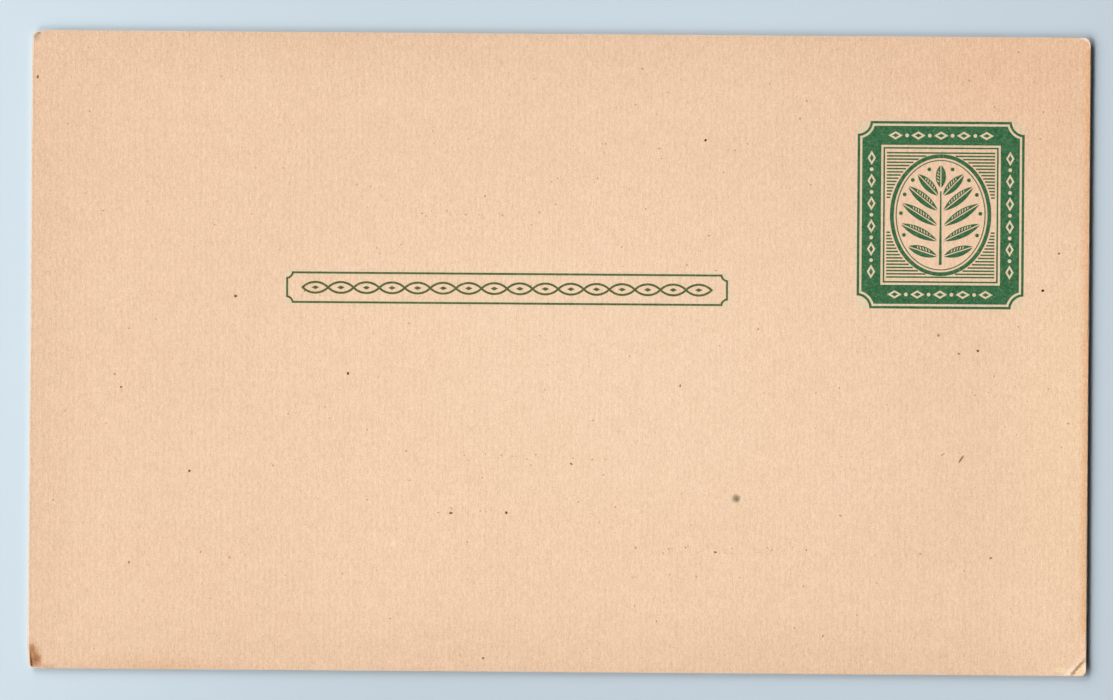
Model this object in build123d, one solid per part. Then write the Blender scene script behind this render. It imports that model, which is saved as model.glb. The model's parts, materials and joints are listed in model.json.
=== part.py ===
from build123d import *
import math
import os

# Pre-stamped postcard: three plies of card stock with letterpress ink films on the front face.
# +X runs along the long edge, +Y to the top edge, +Z out of the printed front face.
# The origin is the middle of the card's outline, on the back face. All lengths are in millimetres.

# Card stock: the sheet's trimmed size and its plies
card_length = 139.7
card_height = 84.2
front_ply_thickness = 0.06
core_ply_thickness = 0.13
back_ply_thickness = 0.06

# Corners, rounded by handling; the bottom left one is worn to a slant, and the top left one rubbed down
top_left_radius = 0.9
top_right_radius = 0.9
bottom_right_radius = 0.8
worn_along_bottom = 0.18
worn_along_left = 2.6
worn_bottom_softening = 0.55
worn_left_softening = 20.0
rubbed_along_top = 2.6
rubbed_depth = 0.15
rubbed_softening = 20.0

# Dog-eared corner at the bottom right, bent up along a crease across the corner
crease_up_right_edge = 2.45
crease_along_bottom = 2.05
crease_angle = 3.0
crease_inside_radius = 0.15

# Ink film
ink_thickness = 0.012

# Address panel: a rule with hollow corners around a twist of two strands with a lozenge in each eye
panel_length = 58.25
panel_height = 4.15
panel_left_margin = 33.8
panel_top_margin = 31.6
panel_rule = 0.26
panel_notch = 0.75
twist_height = 1.7
twist_stroke = 0.28
twist_eye_pitch = 3.37
twist_end_margin = 1.85
twist_lozenge_length = 1.0
twist_lozenge_width = 0.5

# Postage imprint: outer rule and border band
imprint_width = 22.0
imprint_height = 24.7
imprint_right_margin = 8.7
imprint_top_margin = 11.2
imprint_notch = 1.7
outer_rule = 0.32
outer_gap = 0.3
band_width = 2.5

# Reversed-out lozenges and dots along the border band, with a small inked lozenge in each large one
lozenge_length = 1.9
lozenge_width = 1.1
lozenge_inset = 0.25
lozenge_end_margin = 2.2
band_dot_diameter = 0.5
band_dot_gap = 0.3

# Imprint window: inner rule, ground lines and the oval's two rims
window_gap = 0.3
inner_rule = 0.2
ground_gap = 0.25
ground_line = 0.2
ground_pitch = 0.42
ground_shortest_line = 0.4
oval_clearance = 0.45
oval_rim = 0.5
oval_gap = 0.25
oval_hairline = 0.13

# Leafy sprig inside the oval
stem_base_width = 0.36
stem_tip_width = 0.16
stem_base_clearance = 0.6
stem_tip_clearance = 4.0
lowest_leaf_height = 1.0
leaf_pitch = 1.95
leaf_gap = 0.6
leaf_stalk = 0.4
leaf_tip_clearance = 0.5
lowest_leaf_angle = 72.0
highest_leaf_angle = 44.0
midrib_gap = 0.14
vein_slit = 0.16
vein_pitch = 0.4
vein_margin = 0.12
vein_slant = 35.0
berry_diameter = 0.5

# Places worked out from the sizes above
half_length = card_length / 2
half_height = card_height / 2
front_face = back_ply_thickness + core_ply_thickness + front_ply_thickness
panel_centre = (
    -half_length + panel_left_margin + panel_length / 2,
    half_height - panel_top_margin - panel_height / 2,
)
imprint_centre = (
    half_length - imprint_right_margin - imprint_width / 2,
    half_height - imprint_top_margin - imprint_height / 2,
)
lozenge_pitch = lozenge_length + band_dot_diameter + 2 * band_dot_gap
band_inset = outer_rule + outer_gap
window_inset = band_inset + band_width
window_width = imprint_width - 2 * window_inset
window_height = imprint_height - 2 * window_inset
ground_inset = window_gap + inner_rule + ground_gap
ground_half_width = window_width / 2 - ground_inset
ground_half_height = window_height / 2 - ground_inset
oval_half_width = ground_half_width - oval_clearance
oval_half_height = ground_half_height - oval_clearance
oval_inset = oval_rim + oval_gap + oval_hairline
field_half_width = oval_half_width - oval_inset
field_half_height = oval_half_height - oval_inset
leaf_width = leaf_pitch - leaf_gap


def rounded_outline():
    """The card's trimmed edge, as one face on the XY plane."""
    corners = {
        (-half_length + worn_along_bottom, -half_height): worn_bottom_softening,
        (half_length, -half_height): bottom_right_radius,
        (half_length, half_height): top_right_radius,
        (-half_length + rubbed_along_top, half_height): rubbed_softening,
        (-half_length, half_height - rubbed_depth): top_left_radius,
        (-half_length, -half_height + worn_along_left): worn_left_softening,
    }
    return make_face(FilletPolyline(*corners, radius=list(corners.values()), close=True))


def dog_eared_ply(underside, thickness):
    """One ply: flat up to the crease, turned round the crease, then the bent tip of the corner.

    Every ply turns about the same axis above the front face, so the plies stay face to face.
    """
    sheet = extrude(Pos(0, 0, underside) * rounded_outline(), thickness)
    on_right_edge = Vector(half_length, -half_height + crease_up_right_edge, 0)
    on_bottom_edge = Vector(half_length - crease_along_bottom, -half_height, 0)
    middle = (on_right_edge + on_bottom_edge) * 0.5
    along = (on_right_edge - on_bottom_edge).normalized()
    outward = along.cross(Vector(0, 0, 1))
    crease_length = (on_right_edge - on_bottom_edge).length
    crease = Plane(origin=middle, x_dir=along, z_dir=outward)
    flat = split(sheet, bisect_by=crease, keep=Keep.BOTTOM)
    tip = split(sheet, bisect_by=crease, keep=Keep.TOP)
    hinge = Axis(middle + Vector(0, 0, front_face + crease_inside_radius), -along)
    section = crease * Pos(0, underside + thickness / 2) * Rectangle(crease_length, thickness)
    bend = revolve(section, axis=hinge, revolution_arc=crease_angle)
    return flat + bend + tip.rotate(hinge, crease_angle)


def hollow_cornered(width, height, notch, inset=0.0):
    """A rectangle whose corners are bitten out by quarter circles, drawn inset from its own outline."""
    bites = [
        Pos(side * width / 2, end * height / 2) * Circle(notch + inset)
        for side in (-1, 1)
        for end in (-1, 1)
    ]
    return Rectangle(width - 2 * inset, height - 2 * inset) - bites


def lens(length, half_width):
    """A leaf-shaped face along X, centred on the origin, between two equal arcs."""
    left = (-length / 2, 0)
    right = (length / 2, 0)
    upper = ThreePointArc(left, (0, half_width), right)
    lower = ThreePointArc(right, (0, -half_width), left)
    return make_face([upper, lower])


def address_panel_border():
    outside = hollow_cornered(panel_length, panel_height, panel_notch)
    return outside - hollow_cornered(panel_length, panel_height, panel_notch, panel_rule)


def twist_eye_places():
    """Where the eyes of the twist lie along the panel: as many as fit between its end margins."""
    room = panel_length - 2 * (panel_rule + twist_end_margin)
    count = int(room / twist_eye_pitch)
    return [(i - (count - 1) / 2) * twist_eye_pitch for i in range(count)]


def address_panel_twist():
    """Two strands of equal arcs that cross between the eyes: a row of lenses less their insides."""
    rise = (twist_height - twist_stroke) / 2
    radius = (twist_eye_pitch**2 / 4 + rise**2) / (2 * rise)
    sink = radius - rise

    def eye(strand_radius):
        return lens(2 * math.sqrt(strand_radius**2 - sink**2), strand_radius - sink)

    strands = Sketch() + [Pos(x) * eye(radius + twist_stroke / 2) for x in twist_eye_places()]
    return strands - [Pos(x) * eye(radius - twist_stroke / 2) for x in twist_eye_places()]


def lozenge(length, width):
    points = [(length / 2, 0), (0, width / 2), (-length / 2, 0), (0, -width / 2)]
    return make_face(Polyline(*points, close=True))


def address_panel_lozenges():
    return Sketch() + [
        Pos(x) * lozenge(twist_lozenge_length, twist_lozenge_width) for x in twist_eye_places()
    ]


def imprint_outer_rule():
    outside = hollow_cornered(imprint_width, imprint_height, imprint_notch)
    return outside - hollow_cornered(imprint_width, imprint_height, imprint_notch, outer_rule)


def band_runs():
    """The band's four middle lines, as (place of the run's middle, direction in degrees, length)."""
    middle = band_inset + band_width / 2
    across = imprint_width / 2 - middle
    up = imprint_height / 2 - middle
    for side in (-1, 1):
        yield Pos(0, side * up), 0, 2 * across - 2 * lozenge_end_margin
        yield Pos(side * across, 0), 90, 2 * up - 2 * lozenge_end_margin


def along_band(mark, spare=0):
    """Copies of a mark along the band at its lozenges' pitch: as many as fit, less the spare ones."""
    copies = []
    for middle, direction, length in band_runs():
        count = int(length / lozenge_pitch) + 1 - spare
        for i in range(count):
            step = (i - (count - 1) / 2) * lozenge_pitch
            copies.append(middle * Rot(0, 0, direction) * Pos(step) * mark)
    return copies


def imprint_border_band():
    """The solid band, with its lozenges, and the dots between them, left as bare card."""
    solid = hollow_cornered(imprint_width, imprint_height, imprint_notch, band_inset)
    window = Rectangle(window_width, window_height)
    lozenges = along_band(lozenge(lozenge_length, lozenge_width))
    dots = along_band(Circle(band_dot_diameter / 2), spare=1)
    return solid - [window, *lozenges, *dots]


def imprint_border_lozenges():
    """The small lozenges, drawn to leave an even line of bare card inside the large ones."""
    diagonal = math.hypot(lozenge_length, lozenge_width)
    share = 1 - 2 * lozenge_inset * diagonal / (lozenge_length * lozenge_width)
    return Sketch() + along_band(lozenge(share * lozenge_length, share * lozenge_width))


def imprint_inner_rule():
    outside = Rectangle(window_width - 2 * window_gap, window_height - 2 * window_gap)
    inset = window_gap + inner_rule
    return outside - Rectangle(window_width - 2 * inset, window_height - 2 * inset)


def oval_reach(height):
    """Half the oval's width at a height above its middle, outside its rim; 0 above and below it."""
    share = abs(height) / oval_half_height
    return oval_half_width * math.sqrt(1 - share**2) if share < 1 else 0.0


def imprint_ground_lines():
    """Fine level lines that tint the window's corners, broken by the oval."""
    lines = []
    count = int((2 * ground_half_height - ground_line) / ground_pitch) + 1
    for i in range(count):
        height = (i - (count - 1) / 2) * ground_pitch
        reach = oval_reach(height)
        if reach == 0:
            lines.append(Pos(0, height) * Rectangle(2 * ground_half_width, ground_line))
            continue
        start = reach + ground_gap
        length = ground_half_width - start
        if length < ground_shortest_line:
            continue
        for side in (-1, 1):
            lines.append(Pos(side * (start + length / 2), height) * Rectangle(length, ground_line))
    return Sketch() + lines


def oval_ring(inset, width):
    outside = Ellipse(oval_half_width - inset, oval_half_height - inset)
    return outside - Ellipse(oval_half_width - inset - width, oval_half_height - inset - width)


def imprint_oval_rim():
    return oval_ring(0, oval_rim)


def imprint_oval_hairline():
    return oval_ring(oval_rim + oval_gap, oval_hairline)


def stem_ends():
    return -field_half_height + stem_base_clearance, field_half_height - stem_tip_clearance


def sprig_stem():
    bottom, top = stem_ends()
    points = [
        (-stem_base_width / 2, bottom),
        (stem_base_width / 2, bottom),
        (stem_tip_width / 2, top),
        (-stem_tip_width / 2, top),
    ]
    return make_face(Polyline(*points, close=True))


def field_reach(height, angle):
    """How far a ray from the stem at a height, at an angle from upright, runs to the field's edge."""
    across = math.sin(angle) / field_half_width
    up = math.cos(angle) / field_half_height
    start = height / field_half_height
    square = across**2 + up**2
    return (-start * up + math.sqrt((start * up) ** 2 - square * (start**2 - 1))) / square


def leaves():
    """Each leaf as (height on the stem, angle from upright in degrees, blade length), lowest pair first."""
    bottom, top = stem_ends()
    lowest = bottom + lowest_leaf_height
    pairs = int((top - lowest) / leaf_pitch) + 1
    found = []
    for i in range(pairs):
        height = lowest + i * leaf_pitch
        share = i / max(pairs - 1, 1)
        angle = lowest_leaf_angle + share * (highest_leaf_angle - lowest_leaf_angle)
        blade = field_reach(height, math.radians(angle)) - leaf_stalk - leaf_tip_clearance
        found += [(height, angle, blade), (height, -angle, blade)]
    found.append((top, 0.0, field_reach(top, 0.0) - leaf_stalk - leaf_tip_clearance))
    return found


def on_leaf(height, angle, blade):
    """The place of a leaf: its own X runs from the stalk to the tip, from the middle of its blade."""
    return Pos(0, height) * Rot(0, 0, 90 - angle) * Pos(leaf_stalk + blade / 2)


def half_leaf(blade, side):
    """The part of a leaf's blade on one side of its midrib."""
    cover = Pos(0, -side * leaf_width / 2 + side * midrib_gap / 2) * Rectangle(blade, leaf_width)
    return lens(blade, leaf_width / 2) - cover


def shaded_side(angle):
    """The side of a leaf's midrib that faces down, or right on the upright leaf."""
    return -1 if angle >= 0 else 1


def leaf_shades():
    """The shaded half of every leaf, in solid ink."""
    return Sketch() + [
        on_leaf(height, angle, blade) * half_leaf(blade, shaded_side(angle))
        for height, angle, blade in leaves()
    ]


def vein_slits(blade, side):
    """Slanting slits, left as bare card, from the midrib to just inside the leaf's edge."""
    half = leaf_width / 2
    radius = (blade**2 / 4 + half**2) / (2 * half)
    foot = midrib_gap / 2 + vein_margin
    lean = math.tan(math.radians(vein_slant))

    def rise(start):
        """How far a slanting line from the midrib rises before it meets the leaf's edge, less the margin."""
        square = 1 + lean**2
        linear = start * lean + foot + radius - half
        constant = start**2 + (foot + radius - half) ** 2 - (radius - vein_margin) ** 2
        root = linear**2 - square * constant
        return (math.sqrt(root) - linear) / square if root > 0 else 0.0

    slits = []
    count = int(blade / vein_pitch)
    for i in range(count):
        near = (i - (count - 1) / 2) * vein_pitch
        far = near + vein_slit
        if min(rise(near), rise(far)) < vein_slit:
            continue
        points = [
            (near, side * foot),
            (far, side * foot),
            (far + rise(far) * lean, side * (foot + rise(far))),
            (near + rise(near) * lean, side * (foot + rise(near))),
        ]
        slits.append(make_face(Polyline(*points, close=True)))
    return slits


def leaf_lights():
    """The lit half of every leaf, with its veins reversed out."""
    halves = []
    for height, angle, blade in leaves():
        side = -shaded_side(angle)
        slits = vein_slits(blade, side)
        half = half_leaf(blade, side)
        halves.append(on_leaf(height, angle, blade) * (half - slits if slits else half))
    return Sketch() + halves


def sprig_berries():
    """A berry between each two neighbouring leaf tips on one side of the sprig."""
    berries = []
    for side in (-1, 1):
        tips = []
        for height, angle, blade in leaves():
            if angle * side >= 0:
                run = leaf_stalk + blade
                turn = math.radians(angle)
                tips.append(Vector(run * math.sin(turn), height + run * math.cos(turn)))
        for one, other in zip(tips, tips[1:]):
            middle = (one + other) * 0.5
            berries.append(Pos(middle.X, middle.Y) * Circle(berry_diameter / 2))
    return Sketch() + berries


def ink_film(sketch, centre):
    """A printed mark as a film lying on the front face."""
    return extrude(Pos(*centre, front_face) * sketch, ink_thickness)


core_underside = back_ply_thickness
front_underside = back_ply_thickness + core_ply_thickness
nodes = {
    "back_ply": dog_eared_ply(0, back_ply_thickness),
    "core_ply": dog_eared_ply(core_underside, core_ply_thickness),
    "front_ply": dog_eared_ply(front_underside, front_ply_thickness),
}
for mark in (address_panel_border, address_panel_twist, address_panel_lozenges):
    nodes[mark.__name__] = ink_film(mark(), panel_centre)
for mark in (
    imprint_outer_rule,
    imprint_border_band,
    imprint_border_lozenges,
    imprint_inner_rule,
    imprint_ground_lines,
    imprint_oval_rim,
    imprint_oval_hairline,
    sprig_stem,
    leaf_shades,
    leaf_lights,
    sprig_berries,
):
    nodes[mark.__name__] = ink_film(mark(), imprint_centre)

os.makedirs("parts", exist_ok=True)
for name, shape in nodes.items():
    export_step(shape, f"parts/{name}.step")
    print(name, len(shape.solids()), "solids", round(shape.volume, 4), "mm3")
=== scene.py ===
# %% [markdown]
# # An old postcard of buff card stock
# The real object is one flat sheet: plies of paper pressed together into a card, with a design in
# green letterpress ink on its front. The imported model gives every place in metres: X along the long
# edge, Y to the top edge, Z out of the printed face, and the origin on the back face in the middle.
# Sizes below are in millimetres, as a printer would give them, and MM turns them to metres.

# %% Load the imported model
import json
import math

import bmesh
import bpy
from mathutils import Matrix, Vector, noise


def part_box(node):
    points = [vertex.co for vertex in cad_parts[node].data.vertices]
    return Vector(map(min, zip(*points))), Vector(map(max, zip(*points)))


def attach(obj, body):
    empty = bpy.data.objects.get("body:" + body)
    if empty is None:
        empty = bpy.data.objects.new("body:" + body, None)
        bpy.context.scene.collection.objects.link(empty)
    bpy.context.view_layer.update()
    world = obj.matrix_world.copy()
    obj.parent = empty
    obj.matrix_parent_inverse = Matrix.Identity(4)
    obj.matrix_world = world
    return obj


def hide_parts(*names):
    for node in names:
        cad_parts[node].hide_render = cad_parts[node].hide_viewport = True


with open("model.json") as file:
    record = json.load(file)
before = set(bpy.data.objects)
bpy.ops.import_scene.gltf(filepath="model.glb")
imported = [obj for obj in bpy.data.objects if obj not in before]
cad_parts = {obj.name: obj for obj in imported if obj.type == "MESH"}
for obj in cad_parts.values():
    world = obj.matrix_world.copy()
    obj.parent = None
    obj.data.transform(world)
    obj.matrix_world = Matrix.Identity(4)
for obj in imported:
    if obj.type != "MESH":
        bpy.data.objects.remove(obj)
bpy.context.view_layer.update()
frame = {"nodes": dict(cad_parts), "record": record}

MM = 0.001
ply_low, ply_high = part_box("front_ply")
half_length = -ply_low[0] / MM
half_height = ply_high[1] / MM
core_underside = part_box("core_ply")[0][2] / MM
front_underside = ply_low[2] / MM
front_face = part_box("address_panel_border")[0][2] / MM
print(f"card {2 * half_length:.1f} x {2 * half_height:.1f} x {front_face:.2f} mm")

# %% [markdown]
# ## Camera
# The photograph is a flat scan, so the camera looks straight down through a long lens. The card lies
# turned by under half a degree in the scan, and a little off the middle, and the camera takes both.

# %% Camera straight above the card
PHOTO_WIDTH = 1113
PIXELS_PER_MM = 7.586
SCAN_TURN = math.radians(0.435)
SCAN_SHIFT = Vector((-0.34, 0.395))
LENS, SENSOR = 150.0, 36.0
NEAR_CLIP = 10.0


def new_object(name, data):
    """An object for a mesh, a lamp or a camera, linked to the scene."""
    made = bpy.data.objects.new(name, data)
    bpy.context.scene.collection.objects.link(made)
    return made


camera = new_object("camera", bpy.data.cameras.new("camera"))
bpy.context.scene.camera = camera
camera.data.lens = LENS
camera.data.sensor_width = SENSOR
camera.data.clip_start = NEAR_CLIP * MM
camera_height = PHOTO_WIDTH / PIXELS_PER_MM * LENS / SENSOR
camera.location = Vector((SCAN_SHIFT.x, SCAN_SHIFT.y, front_face + camera_height)) * MM
camera.rotation_euler = (0, 0, SCAN_TURN)
print(f"camera {camera_height:.0f} mm above the card")

# %% [markdown]
# ## Lamps
# A scanner lights the page with a long tube at one side, which leaves a narrow dark shadow along the
# far edge and softer ones along the ends. A strip lamp to the left does the same, with a weaker lamp
# past each end of it and a little light from all round. Each lamp's power is worked out by adding up
# the light that reaches the card from small patches of it, so that together they light a white
# surface to exactly white, and every colour below renders about as it is written.

# %% Lamps
LAMP_METRES = 8.0
# where each lamp stands and how large it looks, in degrees, and its share of full light
LAMPS = {
    "strip_lamp": {"bearing": 180, "elevation": 26, "height": 32, "length": 46, "share": 0.46},
    "upper_end_lamp": {"bearing": 127, "elevation": 23, "height": 24, "length": 30, "share": 0.27},
    "lower_end_lamp": {"bearing": 233, "elevation": 23, "height": 24, "length": 30, "share": 0.24},
}
PATCHES = 16


def lamp_power(towards, across, up, share):
    """The watts at which a lamp of two half sizes lights the card to a share of full light."""
    steps = [(2 * i + 1) / PATCHES - 1 for i in range(PATCHES)]
    gain = 0.0
    for aside in steps:
        for rise in steps:
            patch = towards * LAMP_METRES + across * aside + up * rise
            if patch.z > 0:
                way = patch.normalized()
                gain += way.dot(towards) * way.z / patch.length_squared
    # one pi for the way that a lamp spreads its light, and one for the way that a white surface does
    return share * math.pi**2 * PATCHES**2 / gain


for name, lamp in LAMPS.items():
    bearing, elevation = math.radians(lamp["bearing"]), math.radians(lamp["elevation"])
    level = math.cos(elevation)
    towards = Vector((math.cos(bearing) * level, math.sin(bearing) * level, math.sin(elevation)))
    turn = towards.to_track_quat("Z", "Y")
    half_long = LAMP_METRES * math.tan(math.radians(lamp["length"]) / 2)
    half_tall = LAMP_METRES * math.tan(math.radians(lamp["height"]) / 2)
    across = turn @ Vector((half_long, 0, 0))
    up = turn @ Vector((0, half_tall, 0))
    light = bpy.data.lights.new(name, "AREA")
    light.shape = "RECTANGLE"
    light.size = 2 * half_long
    light.size_y = 2 * half_tall
    light.energy = lamp_power(towards, across, up, lamp["share"])
    holder = new_object(name, light)
    holder.location = towards * LAMP_METRES
    holder.rotation_euler = turn.to_euler()
    print(f"{name}: {light.energy:.0f} W")

# %% [markdown]
# ## Helpers for colours and nodes
# Blender's colour sockets are linear, but colours are easiest to judge as sRGB hex values, so one
# function turns hex to linear. Node trees, for light, finishes and geometry alike, are built with one
# function that adds a node, sets it and links it.

# %% Colour and node helpers
def linear(hex_colour):
    """An sRGB hex value such as F0CEAD, as linear red, green, blue and an alpha of 1."""
    shares = [int(hex_colour[i:i + 2], 16) / 255 for i in (0, 2, 4)]
    return (*[c / 12.92 if c <= 0.04045 else ((c + 0.055) / 1.055) ** 2.4 for c in shares], 1.0)


def set_sockets(tree, node, inputs):
    """Set a node's sockets to values, or link other nodes' outputs to them."""
    for socket, value in inputs.items():
        if isinstance(value, bpy.types.NodeSocket):
            tree.links.new(value, node.inputs[socket])
        else:
            node.inputs[socket].default_value = value


def add_node(tree, kind, inputs=None, **settings):
    """A new node: settings are its own properties, and inputs what its sockets are set or linked to."""
    made = tree.nodes.new(kind)
    for name, value in settings.items():
        setattr(made, name, value)
    set_sockets(tree, made, inputs or {})
    return made


print("buff in linear light:", [round(c, 3) for c in linear("F0CEAD")])

# %% [markdown]
# ## Light from all round
# What the lamps leave of full light comes evenly from the world. The camera and reflections see a
# plain pale blue there instead, so a Mix Shader picks between the two by the kind of ray that asks.

# %% World
SURROUND = "DCE8EF"
sky_share = 1 - sum(lamp["share"] for lamp in LAMPS.values())

world = bpy.data.worlds.new("even_surround")
bpy.context.scene.world = world
world.use_nodes = True
sky = world.node_tree
sky.nodes.clear()
ray = add_node(sky, "ShaderNodeLightPath")
seen = ray.outputs["Is Camera Ray"]
for kind in ("Is Glossy Ray", "Is Transmission Ray"):
    seen = add_node(sky, "ShaderNodeMath", {0: seen, 1: ray.outputs[kind]}, operation="MAXIMUM").outputs[0]
dim = add_node(sky, "ShaderNodeBackground", {"Color": linear("FFFFFF"), "Strength": sky_share})
pale = add_node(sky, "ShaderNodeBackground", {"Color": linear(SURROUND), "Strength": 1.0})
either = add_node(sky, "ShaderNodeMixShader", {0: seen, 1: dim.outputs[0], 2: pale.outputs[0]})
add_node(sky, "ShaderNodeOutputWorld", {"Surface": either.outputs[0]})
bpy.context.scene.view_settings.view_transform = "Standard"
print(f"light from all round: {sky_share:.2f} of full light")

# %% [markdown]
# ## Masks for marks
# Stains, creases and toning are painted in the material, at places on the card. A mask says where each
# lies, and it fades with distance: from the middle of an oval spot, or from a line. Reading the distance
# at places that noise has pushed about gives a mark a ragged rim, as a real stain has.

# %% Soft spots and soft lines
LINE_CORE = 0.3


def soft_spot(tree, place, centre, size, strength):
    """A mask over an oval spot of two half sizes, in millimetres: strength in its middle, 0 at its rim."""
    offset = add_node(tree, "ShaderNodeVectorMath", {0: place, 1: (*centre, 0.0)}, operation="SUBTRACT")
    shares = add_node(tree, "ShaderNodeVectorMath",
                      {0: offset.outputs[0], 1: (1 / size[0], 1 / size[1], 0.0)}, operation="MULTIPLY")
    reach = add_node(tree, "ShaderNodeVectorMath", {0: shares.outputs[0]}, operation="LENGTH")
    faded = add_node(tree, "ShaderNodeMapRange",
                     {"Value": reach.outputs["Value"], "From Min": 1.0, "From Max": 0.0,
                      "To Max": strength}, interpolation_type="SMOOTHSTEP")
    return faded.outputs[0]


def soft_line(tree, distance, middle, half_width, strength):
    """A mask along a line: strength where the distance is about the middle value, 0 past the half width."""
    offset = add_node(tree, "ShaderNodeMath", {0: distance, 1: middle}, operation="SUBTRACT")
    aside = add_node(tree, "ShaderNodeMath", {0: offset.outputs[0]}, operation="ABSOLUTE")
    faded = add_node(tree, "ShaderNodeMapRange",
                     {"Value": aside.outputs[0], "From Min": half_width, "From Max": LINE_CORE * half_width,
                      "To Max": strength}, interpolation_type="SMOOTHSTEP")
    return faded.outputs[0]


print(f"soft lines are at full strength over {LINE_CORE:.0%} of their width")

# %% [markdown]
# ## Distances on the card
# A soft line needs to know how far away its line is. Marks here follow the card's straight edges, the
# crease and the printed borders, so two distances do: past a straight line and outside a rectangle. A
# third helper tells the cut side of the card from its face, by how far below the face it lies.

# %% Distances
def beyond_line(tree, place, point, outward):
    """How far a place lies beyond a straight line through a point, in millimetres."""
    offset = add_node(tree, "ShaderNodeVectorMath", {0: place, 1: (*point.xy, 0.0)}, operation="SUBTRACT")
    share = add_node(tree, "ShaderNodeVectorMath", {0: offset.outputs[0], 1: (*outward.xy, 0.0)},
                     operation="DOT_PRODUCT")
    return share.outputs["Value"]


def outside_box(tree, place, low, high):
    """How far a place lies outside a rectangle given by two corners, in millimetres; negative inside it."""
    middle = (low + high) / 2
    half = (high - low) / 2
    offset = add_node(tree, "ShaderNodeVectorMath", {0: place, 1: (*middle.xy, 0.0)}, operation="SUBTRACT")
    aside = add_node(tree, "ShaderNodeVectorMath", {0: offset.outputs[0]}, operation="ABSOLUTE")
    beyond = add_node(tree, "ShaderNodeVectorMath", {0: aside.outputs[0], 1: (*half.xy, 0.0)},
                      operation="SUBTRACT")
    axes = add_node(tree, "ShaderNodeSeparateXYZ", {0: beyond.outputs[0]})
    return add_node(tree, "ShaderNodeMath", {0: axes.outputs["X"], 1: axes.outputs["Y"]},
                    operation="MAXIMUM").outputs[0]


def below_level(tree, place, level, fade):
    """A mask of what lies below a level: 0 down to the first depth of the fade, 1 from its second one."""
    height = add_node(tree, "ShaderNodeSeparateXYZ", {0: place}).outputs["Z"]
    mask = add_node(tree, "ShaderNodeMapRange",
                    {"Value": height, "From Min": level - fade[0], "From Max": level - fade[1]})
    return mask.outputs[0]


print("distances ready: past a line, outside a rectangle, below a level")

# %% [markdown]
# ## Layers of colour
# Every finish here is a ground colour with other colours laid over it in turn, each through its masks,
# much as a tint is brushed over a stencil. Object coordinates are turned to millimetres first, so every
# size in a finish is a real one.

# %% Materials in layers
def new_material(name):
    """A new material with nodes, and its node tree."""
    material = bpy.data.materials.new(name)
    material.use_nodes = True
    return material, material.node_tree


def places(tree):
    """Object coordinates in millimetres."""
    metres = add_node(tree, "ShaderNodeTexCoord").outputs["Object"]
    scaled = add_node(tree, "ShaderNodeVectorMath", {0: metres, "Scale": 1 / MM}, operation="SCALE")
    return scaled.outputs[0]


def soft_spots(tree, place, rows):
    """A layer, which is a colour and its mask, for each row of middle, half sizes, colour and strength."""
    layers = []
    for centre, size, colour, strength in rows:
        layers.append((colour, soft_spot(tree, place, centre, size, strength)))
    return layers


def laid_over(tree, ground, layers):
    """A ground colour with layers over it in turn, each a colour and the masks that together bound it."""
    colour = linear(ground)
    for layer, mask, *others in layers:
        for other in others:
            mask = add_node(tree, "ShaderNodeMath", {0: mask, 1: other}, operation="MULTIPLY").outputs[0]
        # the colour sockets of a Mix node share their names with others, so they go by number
        mixed = add_node(tree, "ShaderNodeMix", {0: mask, 6: colour, 7: linear(layer)}, data_type="RGBA")
        colour = mixed.outputs[2]
    return colour


print("layers ready: a ground colour and any number of tints")

# %% [markdown]
# ## Floor
# A scanner's backing sheet is pale and matt. A flat sheet does for it, a hair's breadth below the card,
# with three wide and faint pools of painted light and shade: brighter on the lamps' side, and duller on
# the far sides, where the card's broad soft shadow falls.

# %% Floor
FLOOR_HALF, FLOOR_DROP = 3000.0, 0.26
FLOOR_COLOUR = "CAD8E1"
# middle, half sizes, colour and strength of each pool: painted shade at the bottom and the right, painted
# light at the left
FLOOR_PAINTED_LIGHT_AND_SHADE = [
    ((0, -75), (190, 80), "C0CCD5", 1.0),
    ((95, 0), (80, 200), "C2CDD6", 0.75),
    ((-95, 0), (80, 200), "D8E8F1", 0.75),
]


def level_patches(name, patches, height):
    """A mesh of level rectangles at a height, each given by its middle and its two half sizes."""
    points, faces = [], []
    for (x, y), (half_wide, half_tall) in patches:
        first = len(points)
        faces.append(tuple(range(first, first + 4)))
        for side, end in ((-1, -1), (1, -1), (1, 1), (-1, 1)):
            points.append(((x + side * half_wide) * MM, (y + end * half_tall) * MM, height * MM))
    mesh = bpy.data.meshes.new(name)
    mesh.from_pydata(points, [], faces)
    return mesh


floor = new_object("floor", level_patches("floor", [((0, 0), (FLOOR_HALF, FLOOR_HALF))], -FLOOR_DROP))
floor_material, floor_tree = new_material("pale_blue_backing_sheet")
# painted light on the lamps' side of the floor, and painted shade on its far sides
pools = soft_spots(floor_tree, places(floor_tree), FLOOR_PAINTED_LIGHT_AND_SHADE)
set_sockets(floor_tree, floor_tree.nodes["Principled BSDF"],
            {"Base Color": laid_over(floor_tree, FLOOR_COLOUR, pools),
             "Roughness": 0.9, "Specular IOR Level": 0.1})
floor.data.materials.append(floor_material)
print(f"floor {FLOOR_DROP} mm below the card")

# %% [markdown]
# ## The card's edge line
# All three plies share one outline. Handling has rounded its corners, worn the bottom left one a little
# off square along the side, and rubbed the top left one down along the top edge. An outline like this
# could be drawn as a Bezier curve, but the plies need the same points at many insets, so a short
# function walks round the corners and gives the points.

# %% Points round the outline
WORN_ALONG_BOTTOM, WORN_UP_LEFT = 0.18, 2.6
RUBBED_ALONG_TOP, RUBBED_DOWN_LEFT = 2.6, 0.15
SLIGHT_BEND = 20.0
WORN_BOTTOM = Vector((-half_length + WORN_ALONG_BOTTOM, -half_height))
WORN_LEFT = Vector((-half_length, -half_height + WORN_UP_LEFT))
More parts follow.
